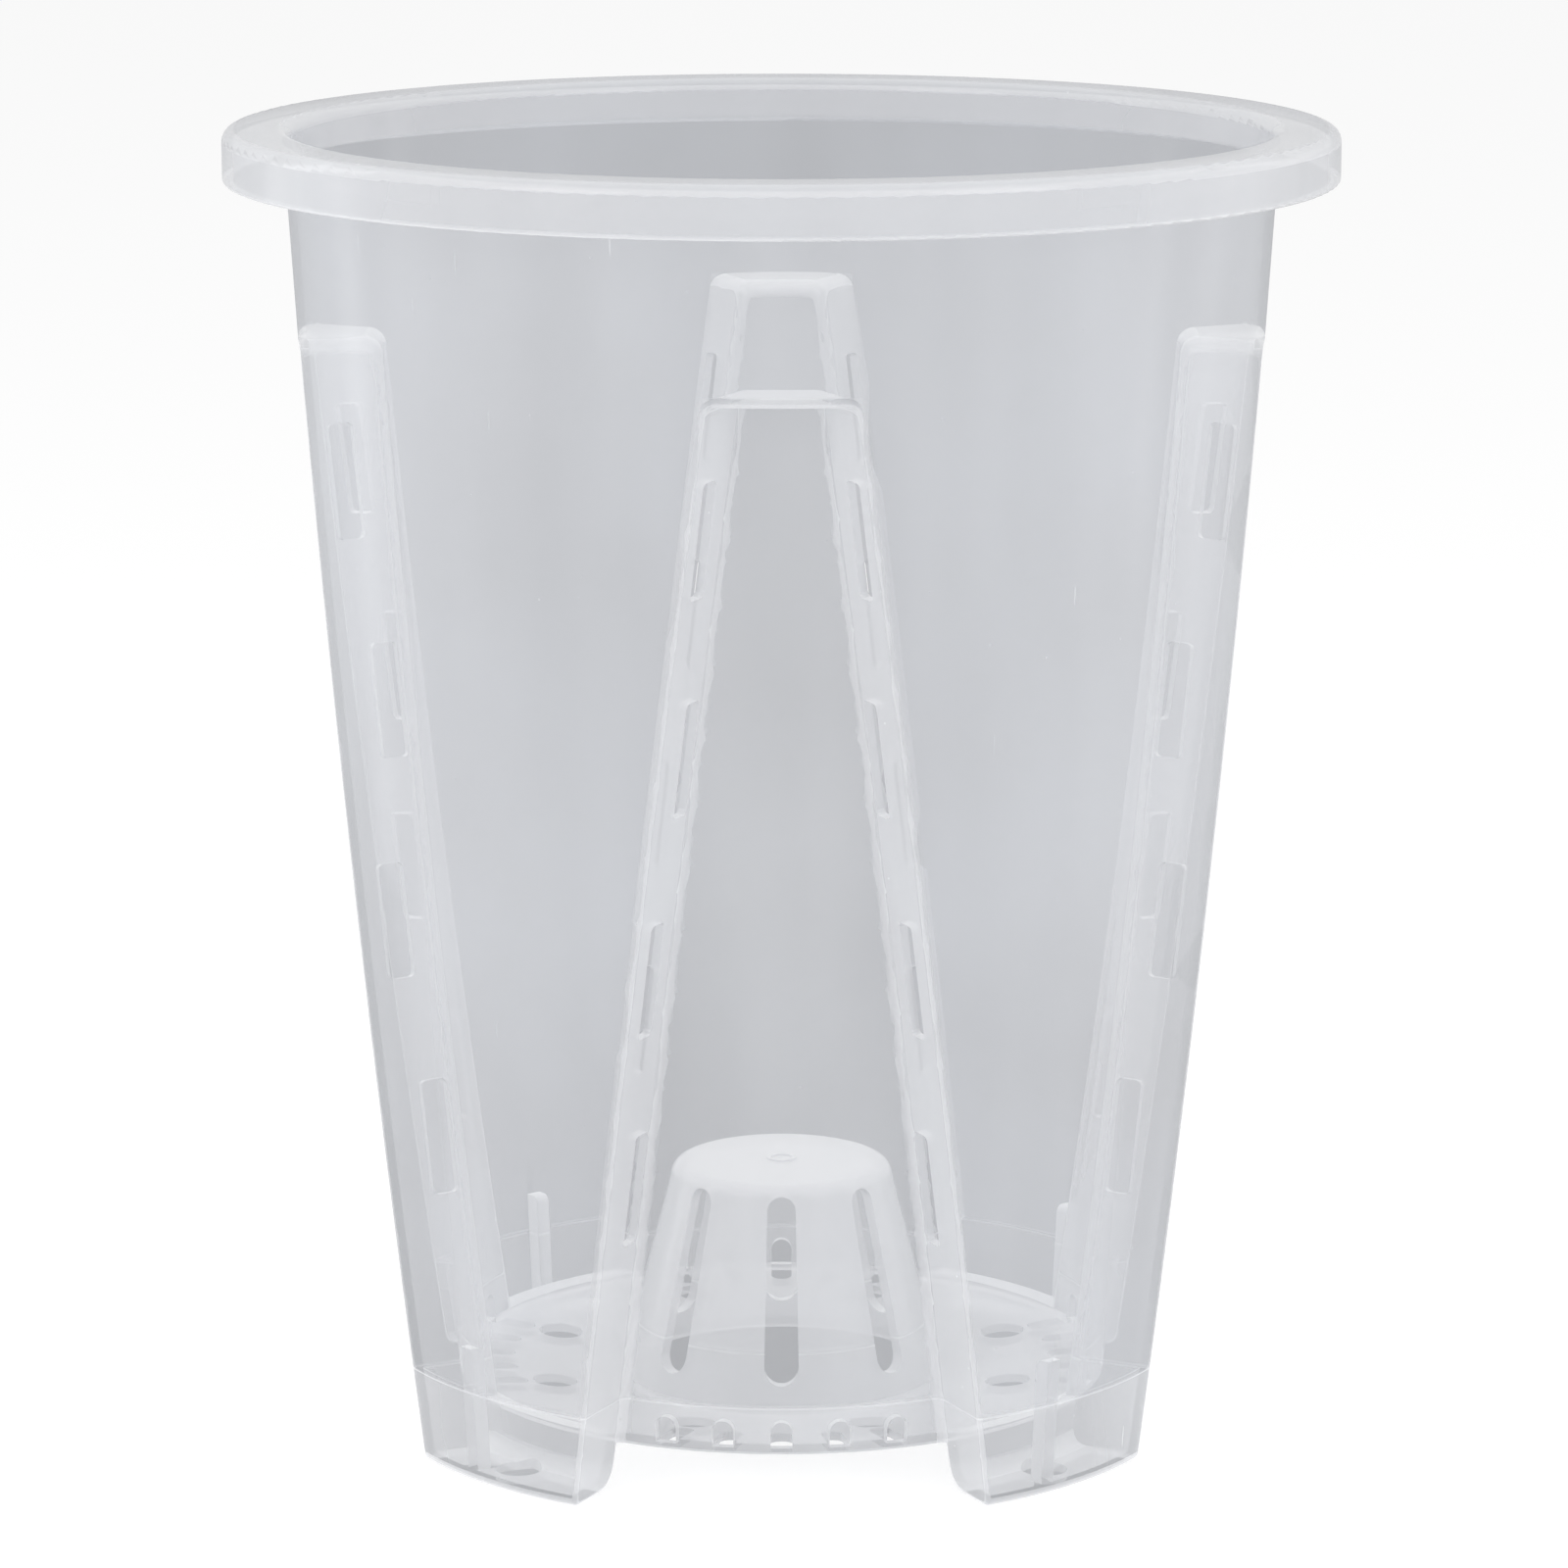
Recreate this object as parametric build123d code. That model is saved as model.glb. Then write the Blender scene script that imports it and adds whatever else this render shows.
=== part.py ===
from build123d import *
from math import atan2, cos, degrees, hypot, radians, sin, sqrt, tan
import os

# Orchid pot of clear plastic, with four tapering air channels let into its wall.
# The pot stands on the ground at the origin, +Z up, and one channel faces -Y.
# It is one moulding: each node below is one zone of it, and zones meet face to face.

# Overall sizes
rim_radius = 70.0
rim_overhang = 7.9
pot_height = 166.5
base_radius = 51.95
wall = 1.1

# Rim: a flat lip with a skirt that hangs clear of the wall
skirt_height = 6.5
skirt_wall = 1.3
lip_thickness = 1.5
lip_inner_round = 1.7
lip_outer_round = 1.5
skirt_edge_round = 0.45
rim_joint_rise = 1.6

# Air channels: cut in from outside, wide at the ground and narrow at the top
channel_count = 4
channel_drop = 27.2
channel_top_half_width = 9.0
channel_base_half_angle = 29.4
channel_top_depth = 9.35
channel_base_depth = 10.4
channel_splay = 26.0
channel_round = 1.2
corner_round = 0.6

# Upright slots in both flanks of each channel, by turns nearer the outside and nearer the panel
slot_count = 4
slot_length = 14.6
slot_width = 3.3
slot_first_drop = 16.6
slot_last_height = 40.3
slot_end_round = 0.7
slot_place_shares = (0.39, 0.64)

# Raised floor, dished towards the middle
floor_edge_height = 5.85
floor_middle_height = 4.0
floor_wall = 1.1

# Feet: four cups below the floor, between the channels
foot_floor = 1.1
foot_step = 0.65
foot_outer_round = 1.2
foot_inner_round = 3.0
cup_inner_round = 1.9
foot_line_rise = 5.95
foot_hole_diameter = 5.8
foot_hole_place_share = 0.46

# Drain notches: arches at the foot of each channel panel, with a slot in the floor
notch_count = 5
notch_width = 2.7
notch_drop = 1.8
notch_sill = 0.8
notch_pitch = 10.0
band_angle_share = 0.93

# Round holes in the floor, two behind each channel
floor_hole_diameter = 5.8
floor_hole_angle = 20.9
floor_hole_place_share = 0.515
floor_web = 0.6

# Stacking ribs on the inside of the wall, one over each foot
rib_width = 2.0
rib_reach = 2.0
rib_top = 17.1
rib_angle = 40.6

# Root cone: the hollow slotted dome in the middle of the floor
cone_base_radius = 20.9
cone_top_radius = 13.9
cone_top = 32.5
cone_wall = 1.2
cone_round = 2.0
cone_inner_round = 0.9
cone_slot_count = 8
cone_slot_top_width = 3.6
cone_slot_base_width = 4.4
cone_slot_drop = 1.3
cone_slot_rise = 2.8
gate_radius = 1.9
gate_ring = 0.5
gate_height = 0.3

# One overrun for every cut, and how near counts as touching when edges are picked
overrun = 2.0
touch = 0.1

turn = 360.0
quarter = turn / channel_count
neck_radius = rim_radius - rim_overhang
skirt_bottom = pot_height - skirt_height
rim_joint = skirt_bottom + rim_joint_rise
channel_top = pot_height - channel_drop
ledge_top = channel_top + wall
slot_pitch = (channel_top - slot_first_drop - slot_last_height) / (slot_count - 1)
cup_radius = base_radius - channel_base_depth + foot_step
foot_line_height = floor_edge_height + foot_line_rise
notch_top = foot_line_height - notch_drop


def body_radius(height):
    """Outer radius of the pot's wall at a height."""
    return base_radius + (neck_radius - base_radius) * height / skirt_bottom


def panel_radius(height):
    """Outer radius of a channel's inner panel at a height."""
    base = base_radius - channel_base_depth
    top = body_radius(channel_top) - channel_top_depth
    return base + (top - base) * height / channel_top


def floor_underside(radius):
    """Height of the floor's lower face at a radius."""
    rise = floor_edge_height - floor_middle_height
    return floor_middle_height + rise * (radius - cone_base_radius) / (cup_radius - cone_base_radius)


def revolved(points, rounds=()):
    """Solid turned about Z from points (radius, height); rounds are (index, radius)."""
    places = [Vector(radius, 0, height) for radius, height in points]
    face = make_face(Polyline(*places, close=True))
    for index, round_radius in rounds:
        corner = face.vertices().sort_by_distance(places[index])[0]
        face = fillet(corner, round_radius)
    return revolve(face, Axis.Z)


def cylinder(radius, bottom, top):
    """Solid cylinder on the axis between two heights."""
    return revolved([(0, bottom), (radius, bottom), (radius, top), (0, top)])


def around(shape, angle):
    """The shape turned about the pot's axis."""
    return Rot(0, 0, angle) * shape


def flank_line(height):
    """Outer corner of the front channel's right flank at a height, as (x, y)."""
    base_x = base_radius * sin(radians(channel_base_half_angle))
    base_y = base_radius * cos(radians(channel_base_half_angle))
    top_y = sqrt(body_radius(channel_top)**2 - channel_top_half_width**2)
    share = height / channel_top
    x = base_x + (channel_top_half_width - base_x) * share
    return x, -(base_y + (top_y - base_y) * share)


def flank_reach(height, radius):
    """Distance along the flank, inwards, from its outer corner to a radius."""
    x, y = flank_line(height)
    splay = radians(channel_splay)
    along = x * sin(splay) - y * cos(splay)
    return along - sqrt(along**2 - (x**2 + y**2 - radius**2))


def flank_point(height, reach):
    """Point on the front channel's right flank at a height and a reach inwards."""
    x, y = flank_line(height)
    splay = radians(channel_splay)
    return Vector(x - reach * sin(splay), y + reach * cos(splay), height)


def channel_section(height, skin):
    """Plan section of the front channel, grown by a skin, as a face at a height."""
    splay = radians(channel_splay)
    growth = skin / cos(splay)
    bulge = base_radius * (1 - cos(radians(channel_base_half_angle)))
    outer = flank_point(height, -bulge / cos(splay) - overrun)
    inner = flank_point(height, channel_base_depth / cos(splay) + overrun)
    points = [
        (outer.X + growth, outer.Y, height),
        (inner.X + growth, inner.Y, height),
        (-inner.X - growth, inner.Y, height),
        (-outer.X - growth, outer.Y, height),
    ]
    return make_face(Polyline(*points, close=True))


def channel_prism(skin):
    """Straight-sided prism of the front channel up to its top, grown by a skin."""
    sections = [channel_section(-overrun, skin), channel_section(channel_top + skin, skin)]
    return loft(sections, ruled=True)


def panel_core(skin):
    """Solid cone inside the channels' inner panels, less a skin."""
    low = -overrun - wall
    high = channel_top + overrun
    points = [(0, low), (panel_radius(low) - skin, low), (panel_radius(high) - skin, high), (0, high)]
    return revolved(points)


def channel_corners(channel, skin):
    """Edges of the front channel where its panel, its flanks and its top meet."""
    corners = []
    for edge in channel.edges():
        middle = edge @ 0.5
        on_panel = abs(hypot(middle.X, middle.Y) - panel_radius(middle.Z) + skin) < touch and middle.Z > 0
        on_flank_top = abs(middle.Z - channel_top - skin) < touch and abs(middle.X) > touch
        if on_panel or on_flank_top:
            corners.append(edge)
    return corners


def channels(skin):
    """The front and right channels as solids, grown by a skin, with rounded inner corners."""
    one = channel_prism(skin) - panel_core(skin)
    one = fillet(channel_corners(one, skin), channel_round + skin)
    return [one, around(one, quarter)]


def body_outside():
    """The pot's outer form below the rim, rounded at the ground."""
    points = [(0, 0), (base_radius, 0), (body_radius(rim_joint), rim_joint), (0, rim_joint)]
    return revolved(points, [(1, foot_outer_round)])


def body_inside():
    """Everything the wall, the floor and the feet close in, before the channels."""
    cup_inside = cup_radius + wall
    high = rim_joint + overrun
    middle = floor_middle_height + floor_wall
    points = [
        (0, middle),
        (cone_base_radius, middle),
        (cup_inside, floor_underside(cup_inside) + floor_wall),
        (cup_inside, foot_floor),
        (body_radius(foot_floor) - wall, foot_floor),
        (body_radius(high) - wall, high),
        (0, high),
    ]
    return revolved(points, [(3, cup_inner_round)])


def under_floor():
    """The space below the floor and between the feet."""
    points = [
        (0, -overrun),
        (cup_radius, -overrun),
        (cup_radius, floor_underside(cup_radius)),
        (cone_base_radius, floor_middle_height),
        (0, floor_middle_height),
    ]
    flare = foot_inner_round
    ring = revolved([(cup_radius, 0), (cup_radius + flare, 0), (cup_radius, flare)])
    ring -= Pos(0, 0, flare) * Torus(cup_radius + flare, flare)
    return revolved(points) + ring


def slot_cutters():
    """Cutters for the upright slots of the front channel's two flanks."""
    cutters = []
    splay = radians(channel_splay)
    inner_top = flank_reach(channel_top, panel_radius(channel_top))
    inner_base = flank_reach(0, panel_radius(0))
    inwards = Vector(-sin(splay), cos(splay), 0)
    for i in range(slot_count):
        place_share = slot_place_shares[i % len(slot_place_shares)]
        low = flank_point(0, inner_base * place_share)
        high = flank_point(channel_top, inner_top * place_share)
        upwards = (high - low).normalized()
        height = channel_top - slot_first_drop - slot_pitch * i
        middle = low + (high - low) * (height / channel_top)
        plane = Plane(origin=middle, x_dir=upwards, z_dir=upwards.cross(inwards))
        slot = RectangleRounded(slot_length, slot_width, slot_end_round)
        cutter = extrude(plane * slot, amount=overrun, both=True)
        cutters += [cutter, mirror(cutter, Plane.YZ)]
    return cutters


def notch_cutters():
    """Cutters for the drain notches of the front channel."""
    cutters = []
    bottom = floor_underside(panel_radius(0)) + notch_sill
    seat = panel_seat()
    inner_end = floor_hole_place() + floor_hole_diameter / 2 + floor_web
    crown = notch_top - notch_width / 2
    reach = cup_radius - inner_end
    arch = Pos(0, 0, (bottom + crown) / 2) * Box(notch_width, reach, crown - bottom)
    arch += Pos(0, 0, crown) * Rot(90, 0, 0) * Cylinder(notch_width / 2, reach)
    arch = Pos(0, -cup_radius, 0) * arch
    slot_depth = floor_edge_height + floor_wall
    round_end = inner_end + notch_width / 2
    floor_slot = Pos(0, -(seat + round_end) / 2, 0) * Box(notch_width, seat - round_end, slot_depth)
    floor_slot += Pos(0, -round_end, 0) * Cylinder(notch_width / 2, slot_depth)
    floor_slot = Pos(0, 0, floor_edge_height) * floor_slot
    for i in range(notch_count):
        angle = notch_pitch * (i - (notch_count - 1) / 2)
        cutters += [around(arch, angle), around(floor_slot, angle)]
    return cutters


def panel_seat():
    """Radius where the raised floor ends against the channel panels."""
    return panel_radius(floor_edge_height) - wall


def floor_hole_place():
    """Radius at which the round holes stand in the floor."""
    return cone_base_radius + (panel_seat() - cone_base_radius) * floor_hole_place_share


def floor_hole_cutters():
    """Cutters for the two round holes in the floor behind the front channel."""
    hole = Cylinder(floor_hole_diameter / 2, 2 * floor_edge_height)
    hole = Pos(0, -floor_hole_place(), floor_edge_height) * hole
    return [around(hole, side * floor_hole_angle) for side in (-1, 1)]


def on_wall_corner(edge):
    """Whether an edge is where a channel breaks through the outside of the wall."""
    middle = edge @ 0.5
    on_wall = abs(hypot(middle.X, middle.Y) - body_radius(middle.Z)) < touch
    return on_wall and foot_outer_round < middle.Z < channel_top + wall / 2


def shell():
    """Wall, floor edge and feet around the front and right channels, before they are told apart."""
    inside = body_inside()
    for channel in channels(wall):
        inside -= channel
    solid = body_outside() - inside - under_floor() - cylinder(panel_seat(), -overrun, foot_line_height)
    for channel in channels(0):
        solid -= channel
    return fillet(solid.edges().filter_by(on_wall_corner), corner_round)


def wedge(half_angle, bottom, top):
    """Wedge about the front channel's middle, from the axis outwards."""
    reach = 2 * rim_radius
    spread = reach * tan(radians(half_angle))
    face = make_face(Polyline((0, 0, bottom), (spread, -reach, bottom), (-spread, -reach, bottom), close=True))
    return extrude(face, amount=top - bottom, dir=(0, 0, 1))


def band_half_angle():
    """Half the angle that a drain band takes up, a little inside the channel's corners."""
    corner = flank_point(foot_line_height, flank_reach(foot_line_height, panel_radius(foot_line_height)))
    return degrees(atan2(corner.X, -corner.Y)) * band_angle_share


def pot_rim():
    """Flat lip, skirt and the collar that joins them to the wall."""
    underside = pot_height - lip_thickness
    points = [
        (body_radius(rim_joint) - wall, rim_joint),
        (body_radius(pot_height) - wall, pot_height),
        (rim_radius, pot_height),
        (rim_radius, skirt_bottom),
        (rim_radius - skirt_wall, skirt_bottom),
        (rim_radius - skirt_wall, underside),
        (body_radius(underside), underside),
        (body_radius(rim_joint), rim_joint),
    ]
    rounds = [(1, lip_inner_round), (2, lip_outer_round), (3, skirt_edge_round), (4, skirt_edge_round)]
    return revolved(points, rounds)


def stacking_rib():
    """Rib on the inside of the wall by the front of a foot, which the next pot rests on."""
    low = body_radius(foot_floor) - wall - rib_reach
    high = body_radius(rib_top) - wall - rib_reach
    outside = body_radius(rib_top) + overrun
    places = [(low, 0, foot_floor), (high, 0, rib_top), (outside, 0, rib_top), (outside, 0, foot_floor)]
    face = make_face(Polyline(*places, close=True))
    face = fillet(face.vertices().sort_by_distance(Vector(*places[1]))[0], rib_reach / 2)
    rib = extrude(face, amount=rib_width / 2, both=True)
    rib = around(rib, -quarter)
    return around(rib & body_inside(), rib_angle)


def root_cone():
    """Hollow slotted dome that stands in the middle of the floor."""
    middle = floor_middle_height + floor_wall
    points = [
        (cone_base_radius, floor_middle_height),
        (cone_base_radius, middle),
        (cone_top_radius, cone_top),
        (0, cone_top),
        (0, cone_top - cone_wall),
        (cone_top_radius - cone_wall, cone_top - cone_wall),
        (cone_base_radius - cone_wall, floor_middle_height),
    ]
    cone = revolved(points, [(2, cone_round), (5, cone_inner_round)])
    top_half = cone_slot_top_width / 2
    base_half = cone_slot_base_width / 2
    top = cone_top - cone_slot_drop - top_half
    base = middle + cone_slot_rise + base_half
    outline = [(-base_half, 0, base), (base_half, 0, base), (top_half, 0, top), (-top_half, 0, top)]
    slot = extrude(make_face(Polyline(*outline, close=True)), amount=cone_base_radius, dir=(0, -1, 0))
    for half, height in ((top_half, top), (base_half, base)):
        end = Rot(90, 0, 0) * Cylinder(half, cone_base_radius, align=(Align.CENTER, Align.CENTER, Align.MIN))
        slot += Pos(0, 0, height) * end
    for i in range(cone_slot_count):
        cone -= around(slot, turn / cone_slot_count * i)
    gate = [(gate_radius - gate_ring, cone_top), (gate_radius, cone_top),
            (gate_radius, cone_top + gate_height), (gate_radius - gate_ring, cone_top + gate_height)]
    return cone + revolved(gate)


def upper_wall():
    """Plain band of wall above the channels, up into the rim."""
    points = [
        (body_radius(ledge_top) - wall, ledge_top),
        (body_radius(ledge_top), ledge_top),
        (body_radius(rim_joint), rim_joint),
        (body_radius(rim_joint) - wall, rim_joint),
    ]
    return revolved(points)


def base_floor():
    """Dished ring between the root cone and the channels, with its holes and notch slots."""
    seat = panel_seat()
    points = [
        (cone_base_radius, floor_middle_height),
        (seat, floor_underside(seat)),
        (seat, floor_underside(seat) + floor_wall),
        (cone_base_radius, floor_middle_height + floor_wall),
    ]
    ring = revolved(points)
    for cutter in notch_cutters() + floor_hole_cutters():
        for i in range(channel_count):
            ring -= around(cutter, quarter * i)
    return ring


def wall_zones():
    """One channel, drain band, wall panel and foot, cut from the shell they share."""
    whole = shell()
    below = whole & cylinder(rim_radius, -overrun, foot_line_height)
    above = whole & cylinder(rim_radius, foot_line_height, ledge_top)
    prism = channel_prism(wall)
    band_wedge = wedge(band_half_angle(), -overrun, foot_line_height)
    foot_wedge = around(wedge(quarter / 2, -overrun, pot_height), quarter / 2)
    channel = above & prism
    for cutter in slot_cutters():
        channel -= cutter
    band = below & band_wedge
    for cutter in notch_cutters():
        band -= cutter
    foot = (below & foot_wedge) - band_wedge - around(band_wedge, quarter)
    foot_hole_place = cup_radius + (base_radius - cup_radius) * foot_hole_place_share
    foot_hole = Pos(0, -foot_hole_place, 0) * Cylinder(foot_hole_diameter / 2, 2 * foot_floor + overrun)
    foot -= around(foot_hole, quarter / 2)
    panel = (above & foot_wedge) - prism - around(prism, quarter)
    return channel, band, panel, foot


def nodes():
    """Every node by name, each one zone of the moulding."""
    channel, band, panel, foot = wall_zones()
    rib = stacking_rib()
    made = {"rim": pot_rim(), "upper_wall": upper_wall(), "base_floor": base_floor(), "root_cone": root_cone()}
    for i, side in enumerate(["front", "right", "back", "left"]):
        made[f"air_channel_{side}"] = around(channel, quarter * i)
        made[f"drain_band_{side}"] = around(band, quarter * i)
    for i, corner in enumerate(["front_right", "back_right", "back_left", "front_left"]):
        made[f"wall_panel_{corner}"] = around(panel, quarter * i)
        made[f"foot_{corner}"] = around(foot, quarter * i)
        made[f"stacking_rib_{corner}"] = around(rib, quarter * i)
    return made


os.makedirs("parts", exist_ok=True)
for name, shape in nodes().items():
    export_step(shape, f"parts/{name}.step")
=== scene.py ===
import math

import bmesh
import bpy
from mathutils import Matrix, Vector
from mathutils.bvhtree import BVHTree


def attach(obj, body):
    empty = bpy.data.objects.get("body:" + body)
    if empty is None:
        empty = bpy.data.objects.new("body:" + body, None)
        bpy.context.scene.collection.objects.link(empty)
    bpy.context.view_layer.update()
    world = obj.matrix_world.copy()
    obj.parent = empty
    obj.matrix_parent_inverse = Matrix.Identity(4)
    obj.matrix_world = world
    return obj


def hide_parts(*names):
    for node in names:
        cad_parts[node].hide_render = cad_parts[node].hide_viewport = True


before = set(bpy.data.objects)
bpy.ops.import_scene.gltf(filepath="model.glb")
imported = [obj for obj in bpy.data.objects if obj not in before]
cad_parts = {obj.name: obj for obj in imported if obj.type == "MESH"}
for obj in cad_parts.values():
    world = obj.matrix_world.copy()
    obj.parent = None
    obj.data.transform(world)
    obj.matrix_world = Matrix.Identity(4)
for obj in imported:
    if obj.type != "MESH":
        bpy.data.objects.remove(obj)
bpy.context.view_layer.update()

mm = 0.001

# The camera stands where the photograph was taken, fitted about the pot's foot, and tilts down by degrees
camera_distance = 797.8 * mm
camera_height = 246.7 * mm
camera_tilt = 11.66
camera_lens = 146.06
film_width = 36.0
axis_offset_share = 0.0016
nearest_view = 10 * mm

# The studio: a floor wider than the view, white all round, and a grey sweep seen through the plastic
floor_radius = 9.0
floor_sides = 96
floor_glow = 0.07
sweep_glow = 0.92
# Within this reach of the pot the grey sweep is painted darker: a painted shadow
painted_shadow_reach = 400 * mm
surroundings = 0.86

# Two soft boxes in front, aimed at the middle of the pot, in watts
box_distance = 900 * mm
box_height = 620 * mm
box_size = 620 * mm
box_power = 4.0
box_aim = 80 * mm

# A low strip box to each side, a little behind the pot, stronger on the left, in watts
strip_distance = 330 * mm
strip_angle = math.radians(114)
strip_width = 60 * mm
strip_height = 420 * mm
strip_power = {-1: 0.12, 1: 0.07}

# What marks the plastic: the melt's flow, uneven cooling, dust, and hairline scratches up the wall.
# A mark's half width is its share of the spacing: dust is 0.24 mm across, a scratch 0.2 mm by 8 mm
streak_width = 9 * mm
streak_length = 90 * mm
streak_detail = 1.0
cloud_size = 40 * mm
dust_spacing = 6 * mm
scratch_spacing = 5 * mm
scratch_spacing_up = 200 * mm
scratch_lean = (math.radians(7), math.radians(-5), 0)
mark_share = 0.02

# Fine bright line where the mould's halves met, round the top of the feet
witness_height = 11.8 * mm
witness_half_width = 0.13 * mm

# How much of a surface's haze is even, how much comes and goes with streaks and clouds, and a mark's own
even_haze = 0.2
streak_haze = 0.4
cloud_haze = 0.8
mark_haze = 0.3
# Optical depth that a zone's milk of 1 would add, seen square on
milk_haze = 1.3
# The milk's share in stopping light on its way to other surfaces: it sends most of it onwards
light_share = 0.3

# The shine: polypropylene's own index, and a ripple where the melt's streaks froze
plastic_ior = 1.49
cloud_roughness = 0.1
ripple_strength = 0.15
ripple_depth = 0.2 * mm

# How the parts of a zone's surface are told apart: joints, which lie back to back with another zone's face,
# sharp edges, rounded edges, which bend more tightly than a 5 mm radius, and small cut faces
joint_gap = 0.03 * mm
merge_gap = 0.001 * mm
back_to_back = -0.9
sharp_edge = math.radians(35)
shortest_edge = 0.05 * mm
tight_bend = 1 / (5 * mm)
cut_face_area = 60 * mm**2
# A smooth surface whose middle is this far from the pot's axis lies on one side of the pot
own_side = 10 * mm

# Each kind of zone: its plastic, then its milk: all over, where it turns across the wall, and on its edges,
# where it is partly thick plastic and partly a painted highlight
zones = {
    "rim": ("rim", 0.08, 0.04, 0.12),
    "upper_wall": ("wall", 0.0, 0.0, 0.0),
    "air_channel": ("channel", 0.0, 0.07, 0.17),
    "wall_panel": ("wall", 0.0, 0.0, 0.17),
    "foot": ("channel", 0.02, 0.07, 0.25),
    "drain_band": ("channel", 0.05, 0.0, 0.12),
    "base_floor": ("channel", 0.0, 0.0, 0.0),
    "root_cone": ("channel", 0.2, 0.0, 0.03),
    "stacking_rib": ("channel", 0.22, 0.22, 0.2),
}


def linear(hex_colour):
    """Linear colour, with full alpha, of an sRGB hex value."""
    parts = [int(hex_colour[i:i + 2], 16) / 255 for i in (1, 3, 5)]
    return [c / 12.92 if c <= 0.04045 else ((c + 0.055) / 1.055) ** 2.4 for c in parts] + [1]


def add(tree, kind, settings=None, **links):
    """Adds a node; settings are its properties, links its inputs by name or place.

    An input is given as a value, a socket, or a node for that node's first output.
    """
    node = tree.nodes.new(kind)
    for name, value in (settings or {}).items():
        setattr(node, name, value)
    for name, value in links.items():
        socket = node.inputs[int(name[1:]) if name[1:].isdigit() else name.replace("_", " ")]
        if isinstance(value, bpy.types.Node):
            value = value.outputs[0]
        if isinstance(value, bpy.types.NodeSocket):
            tree.links.new(value, socket)
        else:
            socket.default_value = value
    return node


def empty_material(name):
    """Material with no nodes yet, and its node tree."""
    material = bpy.data.materials.new(name)
    material.use_nodes = True
    material.node_tree.nodes.clear()
    return material, material.node_tree


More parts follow.
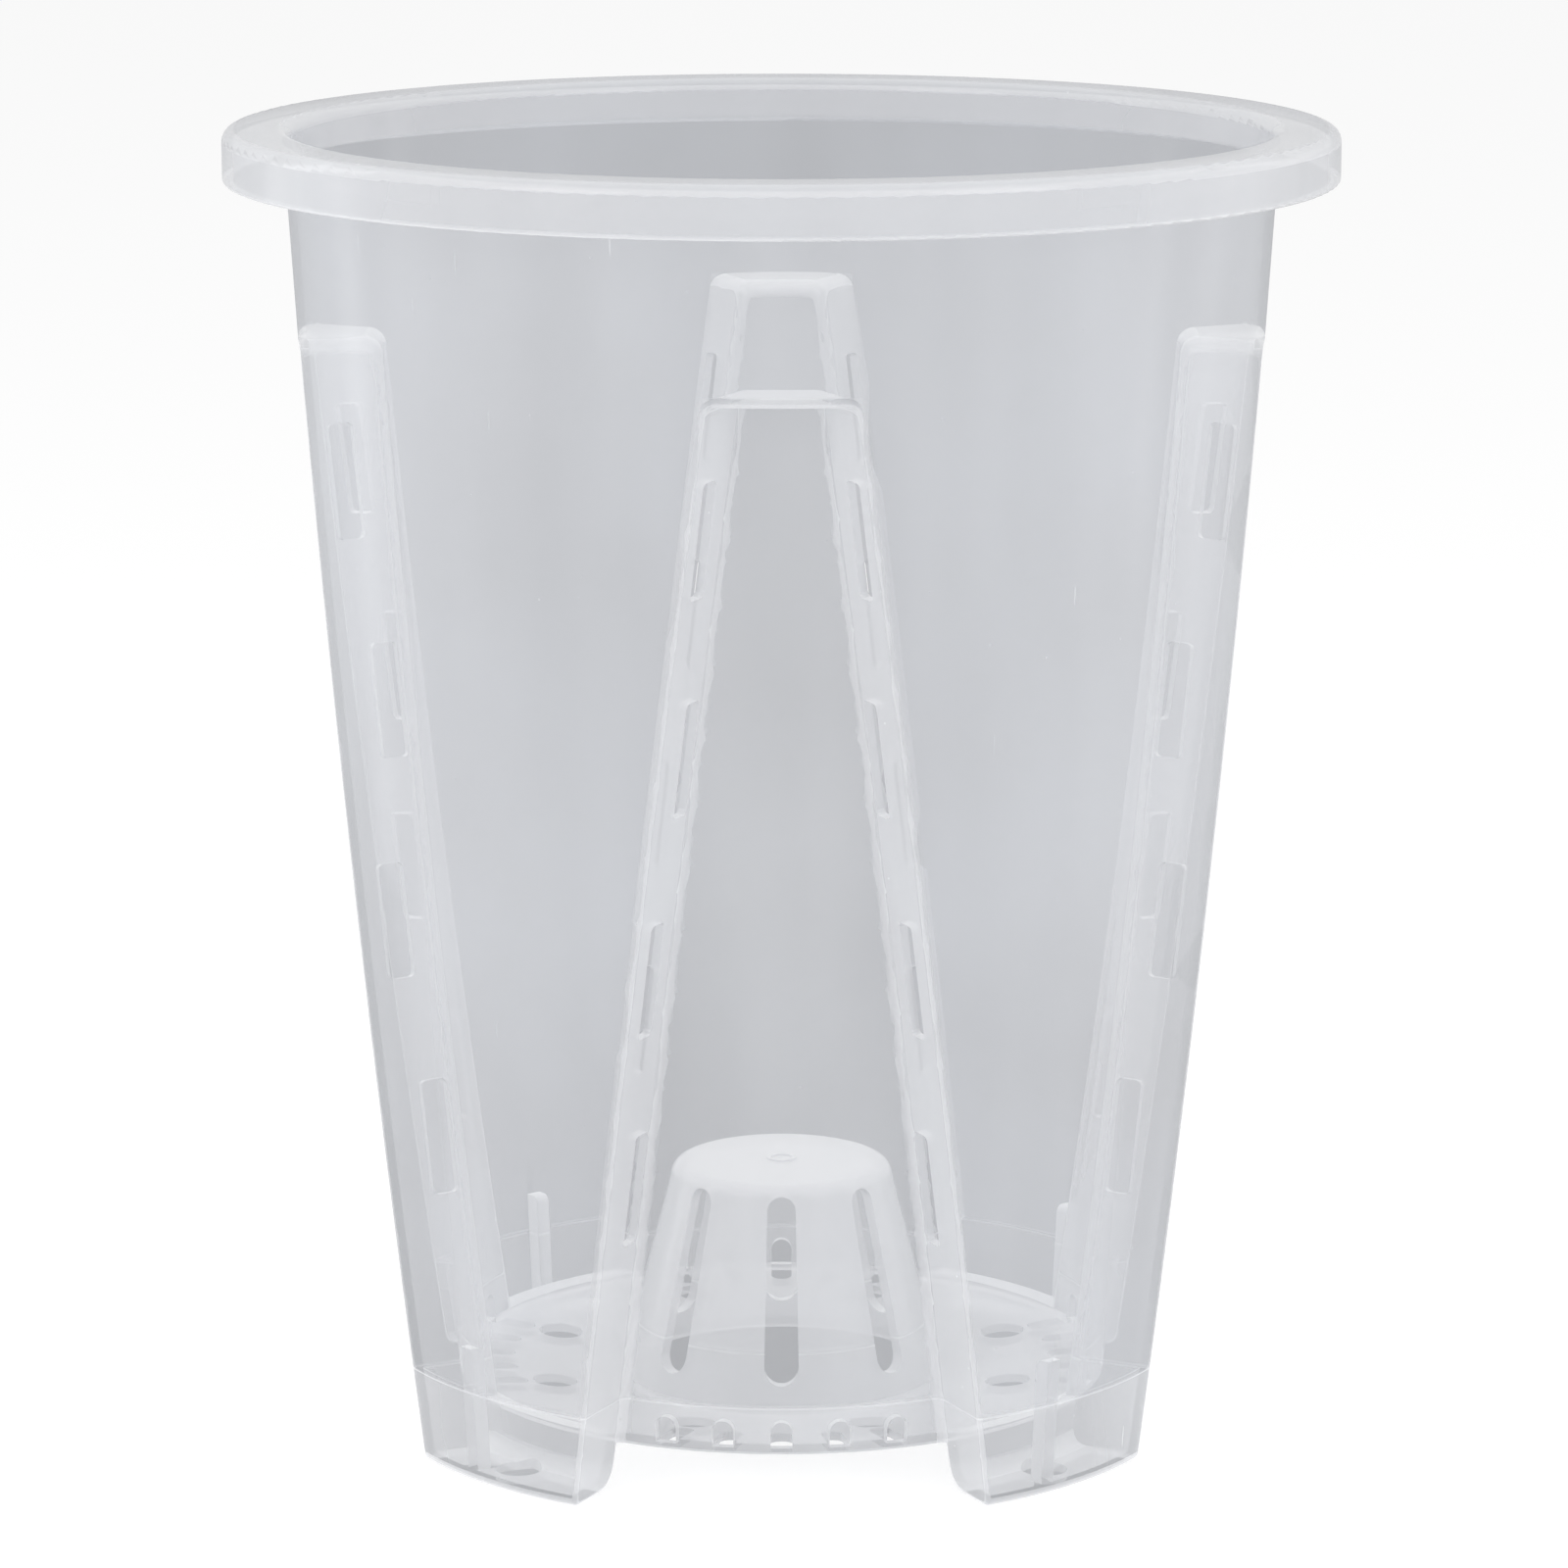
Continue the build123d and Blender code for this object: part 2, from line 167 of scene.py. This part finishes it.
def clear_polypropylene(name, haze, longest_path, colour, cloud_colour, roughness):
    """Clear polypropylene, injection moulded: glossy, with a faint milk in it.

    The eye sees through it to the far wall, whiter where it looks along the wall or into a thick corner.
    haze is the optical depth of one surface, seen square on; longest_path is how many times deeper it
    gets where it is seen along the wall.
    """
    material, tree = empty_material(name)
    place = add(tree, "ShaderNodeTexCoord").outputs["Object"]

    # Flow of the melt up the mould: soft upright streaks
    streak_scale = (1 / streak_width, 1 / streak_width, 1 / streak_length)
    streak_place = add(tree, "ShaderNodeMapping", Vector=place, Scale=streak_scale)
    streaks = add(tree, "ShaderNodeTexNoise", Vector=streak_place, Scale=1.0, Detail=streak_detail)
    # Cloudy patches where the wall cooled at different rates
    clouds = add(tree, "ShaderNodeTexNoise", Vector=place, Scale=1 / cloud_size)
    # Specks of dust and hairline scratches, as handling leaves them
    specks = add(tree, "ShaderNodeTexVoronoi", Vector=place, Scale=1 / dust_spacing)
    scratch_scale = (1 / scratch_spacing, 1 / scratch_spacing, 1 / scratch_spacing_up)
    scratch_place = add(tree, "ShaderNodeMapping", Vector=place, Rotation=scratch_lean, Scale=scratch_scale)
    scratches = add(tree, "ShaderNodeTexVoronoi", Vector=scratch_place, Scale=1.0)
    nearest = add(tree, "ShaderNodeMath", {"operation": "MINIMUM"}, _0=specks, _1=scratches)
    marks = add(tree, "ShaderNodeMath", {"operation": "LESS_THAN"}, _0=nearest, _1=mark_share)
    height = add(tree, "ShaderNodeSeparateXYZ", Vector=place).outputs["Z"]
    witness = add(tree, "ShaderNodeMath", {"operation": "COMPARE"}, _0=height, _1=witness_height,
                  _2=witness_half_width)
    marks = add(tree, "ShaderNodeMath", {"operation": "MAXIMUM"}, _0=marks, _1=witness)

    uneven = add(tree, "ShaderNodeMath", {"operation": "MULTIPLY_ADD"}, _0=streaks, _1=streak_haze, _2=even_haze)
    uneven = add(tree, "ShaderNodeMath", {"operation": "MULTIPLY_ADD"}, _0=clouds, _1=cloud_haze, _2=uneven)
    depth = add(tree, "ShaderNodeMath", {"operation": "MULTIPLY"}, _0=uneven, _1=haze)
    milk = add(tree, "ShaderNodeAttribute", {"attribute_name": "milk"}).outputs["Fac"]
    depth = add(tree, "ShaderNodeMath", {"operation": "MULTIPLY_ADD"}, _0=milk, _1=milk_haze, _2=depth)
    depth = add(tree, "ShaderNodeMath", {"operation": "MULTIPLY_ADD"}, _0=marks, _1=mark_haze, _2=depth)
    # Light crosses more plastic where the surface is seen at a slant
    facing = add(tree, "ShaderNodeLayerWeight").outputs["Facing"]
    square = add(tree, "ShaderNodeMath", {"operation": "SUBTRACT"}, _0=1.0, _1=facing)
    square = add(tree, "ShaderNodeMath", {"operation": "MAXIMUM"}, _0=square, _1=1 / longest_path)
    crossed = add(tree, "ShaderNodeMath", {"operation": "DIVIDE"}, _0=depth, _1=square)
    crossed = add(tree, "ShaderNodeMath", {"operation": "MULTIPLY"}, _0=crossed, _1=-1.0)
    clear = add(tree, "ShaderNodeMath", {"operation": "POWER"}, _0=math.e, _1=crossed)
    milky = add(tree, "ShaderNodeMath", {"operation": "SUBTRACT", "use_clamp": True}, _0=1.0, _1=clear)
    rays = add(tree, "ShaderNodeLightPath")
    seen = add(tree, "ShaderNodeMath", {"operation": "MAXIMUM"}, _0=rays.outputs["Is Camera Ray"],
               _1=rays.outputs["Is Glossy Ray"])
    veil = add(tree, "ShaderNodeMapRange", Value=seen, To_Min=light_share, To_Max=1.0)
    alpha = add(tree, "ShaderNodeMath", {"operation": "MULTIPLY"}, _0=milky, _1=veil)

    # The plastic is a touch bluer where it is cloudier, and less glossy there
    tint = add(tree, "ShaderNodeMix", {"data_type": "RGBA"}, Factor=clouds, A=linear(colour),
               B=linear(cloud_colour))
    gloss = add(tree, "ShaderNodeMath", {"operation": "MULTIPLY_ADD"}, _0=clouds, _1=cloud_roughness,
                _2=roughness)
    ripple = add(tree, "ShaderNodeBump", Strength=ripple_strength, Distance=ripple_depth, Height=streaks)
    shader = add(tree, "ShaderNodeBsdfPrincipled", Base_Color=tint.outputs["Result"], Roughness=gloss,
                 IOR=plastic_ior, Alpha=alpha, Normal=ripple)
    add(tree, "ShaderNodeOutputMaterial", Surface=shader)
    return material


def joint_face():
    """Where two zones of the one moulding meet there is no surface, so the eye sees nothing."""
    material, tree = empty_material("moulding_run_through")
    shader = add(tree, "ShaderNodeBsdfPrincipled", Base_Color=linear("#DADBDD"), Roughness=0.3, Alpha=0.0)
    add(tree, "ShaderNodeOutputMaterial", Surface=shader)
    return material


def surface_of(name):
    """The zone's surface for finding what lies against it."""
    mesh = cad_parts[name].data
    return BVHTree.FromPolygons([v.co for v in mesh.vertices], [p.vertices[:] for p in mesh.polygons])


surfaces = {name: surface_of(name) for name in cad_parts}


def meets_other_zone(name, face):
    """Whether a face lies against a face of another zone."""
    centre = face.calc_center_median()
    for other, surface in surfaces.items():
        if other != name:
            place, normal, _, _ = surface.find_nearest(centre, joint_gap)
            if place is not None and normal.dot(face.normal) < back_to_back:
                return True
    return False


def bends_tightly(face, as_moulded):
    """Whether a face is a strip of a rounded edge, from the normals at its corners."""
    for loop in face.loops:
        following = loop.link_loop_next
        apart = (loop.vert.co - following.vert.co).length
        turned = loop[as_moulded].angle(following[as_moulded], 0.0)
        if apart > shortest_edge and turned > apart * tight_bend:
            return True
    return False


def smooth_regions(mesh):
    """Groups of faces that run smoothly into each other, up to sharp edges."""
    left = set(mesh.faces)
    for first in mesh.faces:
        if first not in left:
            continue
        left.remove(first)
        group = [first]
        for face in group:
            for edge in face.edges:
                if len(edge.link_faces) == 2 and edge.calc_face_angle() < sharp_edge:
                    for other in edge.link_faces:
                        if other in left:
                            left.remove(other)
                            group.append(other)
        yield group


def dress(name, plastic, zone_milk, slant_milk, edge_milk_and_highlight):
    """Visible copy of a zone, with its milk marked face by face and its joints cleared."""
    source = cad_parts[name].data
    copy = source.copy()
    normals = [value for corner in source.corner_normals for value in corner.vector]
    copy.attributes.new("as_moulded", "FLOAT_VECTOR", "CORNER").data.foreach_set("vector", normals)
    mesh = bmesh.new()
    mesh.from_mesh(copy)
    bpy.data.meshes.remove(copy)
    bmesh.ops.remove_doubles(mesh, verts=mesh.verts, dist=merge_gap)
    as_moulded = mesh.loops.layers.float_vector["as_moulded"]
    milk = mesh.faces.layers.float.new("milk")
    for group in smooth_regions(mesh):
        cut = sum(face.calc_area() for face in group) < cut_face_area
        # Outwards is one direction for a surface on one side of the pot, and each face's own on a full ring
        middle = sum((face.calc_center_median() for face in group), Vector()) / len(group)
        for face in group:
            face.smooth = True
            centre = middle if middle.xy.length > own_side else face.calc_center_median()
            outwards = Vector((centre.x, centre.y, 0)).normalized()
            slant = 1 - abs(face.normal.dot(outwards))
            face.material_index = 1 if meets_other_zone(name, face) else 0
            face[milk] = zone_milk + slant_milk * slant
            # Rounded edges and small cut faces whiten: partly the thicker plastic seen along them, partly a
            # painted highlight
            if cut or bends_tightly(face, as_moulded):
                face[milk] += edge_milk_and_highlight
    finished = bpy.data.meshes.new(name)
    mesh.to_mesh(finished)
    mesh.free()
    # Merging the doubles lost the moulded normals, so they are set again, and the layer that kept them goes
    kept = finished.attributes["as_moulded"]
    finished.normals_split_custom_set([corner.vector[:] for corner in kept.data])
    finished.attributes.remove(finished.attributes["as_moulded"])
    piece = bpy.data.objects.new(f"clear_{name}", finished)
    bpy.context.scene.collection.objects.link(piece)
    finished.materials.append(plastic)
    finished.materials.append(run_through)
    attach(piece, "root")
    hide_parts(name)


def studio_floor():
    """Seamless floor that runs past the view on all sides, painted matt.

    The eye sees it white beside the pot, with the pot's shadow, and as a pale grey sweep through the
    plastic, as the photograph shows the two.
    """
    material, tree = empty_material("matt_painted_floor")
    rays = add(tree, "ShaderNodeLightPath")
    layers = rays.outputs["Transparent Depth"]
    through = add(tree, "ShaderNodeMath", {"operation": "GREATER_THAN"}, _0=layers, _1=0.5)
    # The grey sweep is painted darker towards its foot: a painted shadow where the pot keeps light off it
    place = add(tree, "ShaderNodeTexCoord").outputs["Object"]
    away = add(tree, "ShaderNodeVectorMath", {"operation": "LENGTH"}, _0=place).outputs["Value"]
    far = add(tree, "ShaderNodeMapRange", {"interpolation_type": "SMOOTHSTEP"}, Value=away,
              From_Min=0.0, From_Max=painted_shadow_reach)
    sweep = add(tree, "ShaderNodeMix", {"data_type": "RGBA"}, Factor=far, A=linear("#95979B"),
                B=linear("#ABADB1")).outputs["Result"]
    colour = add(tree, "ShaderNodeMix", {"data_type": "RGBA"}, Factor=through, A=linear("#FFFFFF"), B=sweep)
    paint = add(tree, "ShaderNodeBsdfDiffuse", Color=colour.outputs["Result"])
    glow = add(tree, "ShaderNodeMath", {"operation": "MULTIPLY_ADD"}, _0=through, _1=-floor_glow, _2=floor_glow)
    glow = add(tree, "ShaderNodeEmission", Strength=glow)
    beside = add(tree, "ShaderNodeAddShader", _0=paint, _1=glow)
    behind = add(tree, "ShaderNodeEmission", Color=sweep, Strength=sweep_glow)
    seen = add(tree, "ShaderNodeMath", {"operation": "MAXIMUM"}, _0=rays.outputs["Is Camera Ray"],
               _1=rays.outputs["Is Glossy Ray"])
    seen = add(tree, "ShaderNodeMath", {"operation": "MAXIMUM"}, _0=seen, _1=rays.outputs["Is Transmission Ray"])
    seen_through = add(tree, "ShaderNodeMath", {"operation": "MULTIPLY"}, _0=through, _1=seen)
    both = add(tree, "ShaderNodeMixShader", _0=seen_through, _1=beside, _2=behind)
    add(tree, "ShaderNodeOutputMaterial", Surface=both)
    mesh = bmesh.new()
    bmesh.ops.create_circle(mesh, cap_ends=True, segments=floor_sides, radius=floor_radius)
    shape = bpy.data.meshes.new("studio_floor")
    mesh.to_mesh(shape)
    mesh.free()
    shape.materials.append(material)
    floor = bpy.data.objects.new("studio_floor", shape)
    bpy.context.scene.collection.objects.link(floor)


def studio_light():
    """Even white surroundings, a soft box to each side in front, and a low strip box to each side."""
    world = bpy.data.worlds.new("white_studio")
    bpy.context.scene.world = world
    world.use_nodes = True
    world.node_tree.nodes["Background"].inputs["Color"].default_value = linear("#FFFFFF")
    world.node_tree.nodes["Background"].inputs["Strength"].default_value = surroundings
    for side in (-1, 1):
        light = bpy.data.lights.new("soft_box", "AREA")
        light.size = box_size
        light.energy = box_power
        lamp = bpy.data.objects.new("soft_box", light)
        lamp.location = (side * box_distance, -box_distance, box_height)
        lamp.rotation_euler = (Vector((0, 0, box_aim)) - lamp.location).to_track_quat("-Z", "Y").to_euler()
        bpy.context.scene.collection.objects.link(lamp)
        # The strip beside the pot draws the soft upright highlight near each side of the wall
        glow = bpy.data.lights.new("strip_box", "AREA")
        glow.shape = "RECTANGLE"
        glow.size = strip_width
        glow.size_y = strip_height
        glow.energy = strip_power[side]
        strip = bpy.data.objects.new("strip_box", glow)
        strip.location = (side * strip_distance * math.sin(strip_angle), -strip_distance * math.cos(strip_angle),
                          strip_height / 2)
        strip.rotation_euler = (math.radians(90), 0, side * strip_angle)
        strip.visible_camera = False
        bpy.context.scene.collection.objects.link(strip)


def camera():
    """Camera at the photograph's place."""
    data = bpy.data.cameras.new("camera")
    data.lens = camera_lens
    data.sensor_width = film_width
    data.shift_x = axis_offset_share
    data.clip_start = nearest_view
    data.clip_end = 4 * floor_radius
    eye = bpy.data.objects.new("camera", data)
    eye.location = (0, -camera_distance, camera_height)
    eye.rotation_euler = (math.radians(90 - camera_tilt), 0, 0)
    bpy.context.scene.collection.objects.link(eye)
    bpy.context.scene.camera = eye


# The same plastic in three places: the wall stays clear at a slant, the channels whiten most there
plastics = {
    "wall": clear_polypropylene("clear_polypropylene_wall", haze=0.23, longest_path=1.4,
                                colour="#E9E9EB", cloud_colour="#E2E5EB", roughness=0.08),
    "channel": clear_polypropylene("clear_polypropylene_channel", haze=0.22, longest_path=4.0,
                                   colour="#E9E9EB", cloud_colour="#E4E6EA", roughness=0.1),
    "rim": clear_polypropylene("clear_polypropylene_rim", haze=0.2, longest_path=2.0,
                               colour="#E8E8EA", cloud_colour="#E4E6EA", roughness=0.06),
}
run_through = joint_face()

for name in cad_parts:
    for zone, (plastic, *milks) in zones.items():
        if name.startswith(zone):
            dress(name, plastics[plastic], *milks)

studio_floor()
studio_light()
camera()
scene = bpy.context.scene
scene.view_settings.view_transform = "Standard"
scene.cycles.transparent_max_bounces = 64
